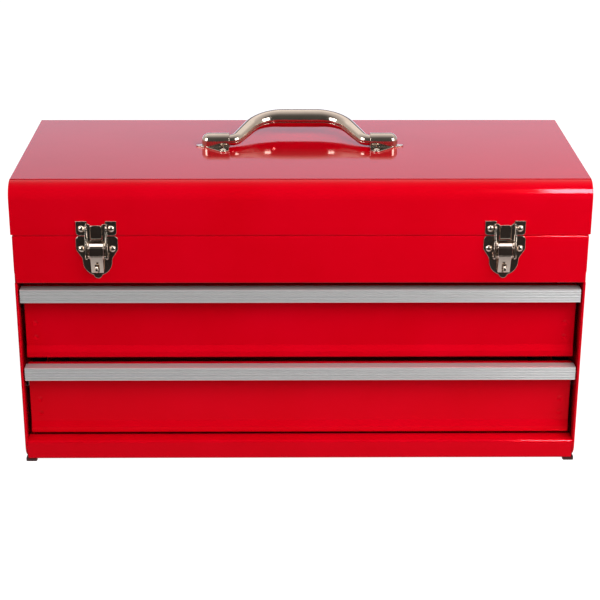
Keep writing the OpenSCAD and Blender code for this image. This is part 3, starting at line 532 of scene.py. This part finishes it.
# The room in reflections: degrees from the horizon behind the box over the top to the front
ROOM = [(0, (1.15, 1.16, 1.42)), (14.7, (1.06, 1.07, 1.30)), (16.7, (0.86, 0.85, 1.04)),
        (19, (0.86, 0.85, 1.04)), (20, (0.0, 0.0, 0.02)), (34, (0.0, 0.0, 0.02)),
        (38, (1.3, 1.26, 1.2)), (66, (1.2, 1.15, 1.1)), (76, (0.85, 0.82, 0.80)),
        (90, (0.72, 0.69, 0.67)), (99, (0.62, 0.59, 0.57)), (113, (0.33, 0.32, 0.31)),
        (127, (0.17, 0.16, 0.16)), (140, (0.10, 0.10, 0.09)), (180, (0.07, 0.07, 0.07))]
# What shows in reflections to the sides, and from which x of a direction
ROOM_SIDE, SIDE_FROM, SIDE_TO = (0.62, 0.58, 0.54), 0.55, 0.85
# Lamps: place, aim (none: the middle of the case), width and height, all in metres, watts, and
# the group that alone shows the lamp, as a glint (none: a soft box that lights everything)
LAMPS = {
    "right": ((0.78, -0.85, 1.0), None, (1.0, 0.9), 16, None),
    "right_strip": ((0.575, -1.30, 1.35), (0.575, 0, 0.21), (0.18, 0.75), 95, "red_paint"),
    "right_card": ((0.46, -0.48, 0.01), (0.46, -0.47, 0.5), (0.5, 0.5), 1.2, "pull_aluminium"),
    "right_glint": ((1.35, -1.2, 0.9), None, (0.9, 1.15), 22, "nickel_plate"),
    "left_glint": ((-1.35, -1.2, 0.9), None, (0.9, 1.15), 22, "nickel_plate"),
    "top_glint": ((0, -0.45, 1.45), (0, -0.11, 0.2), (1.0, 0.6), 6.5, "latches"),
    "left": ((-1.35, -1.0, 1.3), None, (0.8, 1.0), 5, None),
}


def make_lights(lit):
    """Two soft boxes in front, and lamps that only show as glints on one group of pieces."""
    box_low, box_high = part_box("case_shell")
    middle = (0, (box_low.y + box_high.y) / 2, box_high.z / 2)
    for name, (place_m, aim_m, (width, height), watts, group) in LAMPS.items():
        data = bpy.data.lights.new(name, "AREA")
        data.shape = "RECTANGLE"
        data.size = width
        data.size_y = height
        data.energy = watts
        lamp = bpy.data.objects.new(name, data)
        lamp.visible_glossy = group is not None
        lamp.visible_diffuse = group is None
        lamp.visible_camera = False
        if group:
            lamp.light_linking.receiver_collection = lit[group]
        lamp.location = place_m
        aim = Vector(aim_m or middle) - Vector(place_m)
        lamp.rotation_euler = aim.to_track_quat("-Z", "Y").to_euler()
        bpy.context.scene.collection.objects.link(lamp)


def make_world():
    """White for the camera, the room in reflections, and a soft fill for all other light."""
    world = bpy.data.worlds.new("studio")
    bpy.context.scene.world = world
    world.use_nodes = True
    tree = world.node_tree
    tree.nodes.clear()
    output = tree.nodes.new("ShaderNodeOutputWorld")
    light_path = tree.nodes.new("ShaderNodeLightPath")

    def background(colour, strength=1):
        node = tree.nodes.new("ShaderNodeBackground")
        node.inputs["Color"].default_value = (*colour, 1)
        node.inputs["Strength"].default_value = strength
        return node

    def mix(factor, first, second):
        node = tree.nodes.new("ShaderNodeMixShader")
        tree.links.new(factor, node.inputs["Fac"])
        tree.links.new(first.outputs[0], node.inputs[1])
        tree.links.new(second.outputs[0], node.inputs[2])
        return node

    coordinates = tree.nodes.new("ShaderNodeTexCoord")
    split = tree.nodes.new("ShaderNodeSeparateXYZ")
    tree.links.new(coordinates.outputs["Generated"], split.inputs["Vector"])
    height = maths(tree, "MAXIMUM", split.outputs["Z"], 0)
    over = maths(tree, "ARCTAN2", height, split.outputs["Y"])
    half_turns = maths(tree, "MULTIPLY", over, 1 / math.pi)
    room = background(WHITE)
    stops = [(degrees / 180, colour) for degrees, colour in ROOM]
    tree.links.new(shades(tree, half_turns, stops), room.inputs["Color"])
    sideways = maths(tree, "ABSOLUTE", split.outputs["X"])
    room = mix(ramp(tree, sideways, SIDE_FROM, SIDE_TO), room, background(ROOM_SIDE))

    to_front = ramp(tree, split.outputs["Y"], FRONT_FROM, FRONT_TO)
    around = mix(to_front, background(WHITE, FILL_SIDES), background(WHITE, FILL_FRONT))
    to_low = ramp(tree, split.outputs["Z"], LOW_FROM, LOW_TO)
    fill = mix(to_low, background(WHITE, FILL_ABOVE), around)
    clear = mix(light_path.outputs["Is Transmission Ray"], fill, background(WHITE))
    glossy = mix(light_path.outputs["Is Glossy Ray"], clear, room)
    seen = mix(light_path.outputs["Is Camera Ray"], glossy, background(WHITE))
    tree.links.new(seen.outputs[0], output.inputs["Surface"])


def make_floor():
    """A pale floor: white to the camera but for the box's soft shadow, dim in front reflections."""
    mesh = bpy.data.meshes.new("studio_floor")
    h = FLOOR_HALF_M
    mesh.from_pydata([(-h, -h, 0), (h, -h, 0), (h, h, 0), (-h, h, 0)], [], [(0, 1, 2, 3)])
    floor = bpy.data.objects.new("studio_floor", mesh)
    bpy.context.scene.collection.objects.link(floor)
    material, tree, shader = new_material("studio_floor")
    patches = noise(tree, place(tree), scale=6, detail=2)
    shade = two_tone(tree, patches, (0.34, 0.34, 0.34), (0.36, 0.36, 0.36))
    tree.links.new(shade, shader.inputs["Base Color"])
    shader.inputs["Roughness"].default_value = 0.8
    shader.inputs["Specular IOR Level"].default_value = 0.0
    light_path = tree.nodes.new("ShaderNodeLightPath")
    shader.inputs["Emission Color"].default_value = (*WHITE, 1)
    lift = maths(tree, "MULTIPLY", light_path.outputs["Is Camera Ray"], FLOOR_LIFT)
    glow = maths(tree, "MULTIPLY", light_path.outputs["Is Glossy Ray"], FLOOR_GLOW)
    tree.links.new(maths(tree, "ADD", lift, glow), shader.inputs["Emission Strength"])

    split = tree.nodes.new("ShaderNodeSeparateXYZ")
    tree.links.new(place(tree), split.inputs["Vector"])
    in_front = ramp(tree, split.outputs["Y"], DIM_FROM, DIM_TO)
    dim = tree.nodes.new("ShaderNodeBsdfDiffuse")
    dim.inputs["Color"].default_value = (*DIM_SHADE, 1)
    both = tree.nodes.new("ShaderNodeMixShader")
    dimmed = maths(tree, "MULTIPLY", light_path.outputs["Is Glossy Ray"], in_front)
    tree.links.new(dimmed, both.inputs["Fac"])
    tree.links.new(shader.outputs["BSDF"], both.inputs[1])
    tree.links.new(dim.outputs["BSDF"], both.inputs[2])
    output = next(n for n in tree.nodes if n.type == "OUTPUT_MATERIAL")
    tree.links.new(both.outputs["Shader"], output.inputs["Surface"])
    mesh.materials.append(material)


make_camera()
make_world()
make_floor()
made, lit = set_materials()
make_grip(made["nickel_plate"], (lit["nickel_plate"],))
for side in ("left", "right"):
    make_lever(side, made["nickel_plate"], (lit["nickel_plate"], lit["latches"]))
make_lights(lit)
bpy.context.scene.view_settings.view_transform = "Standard"
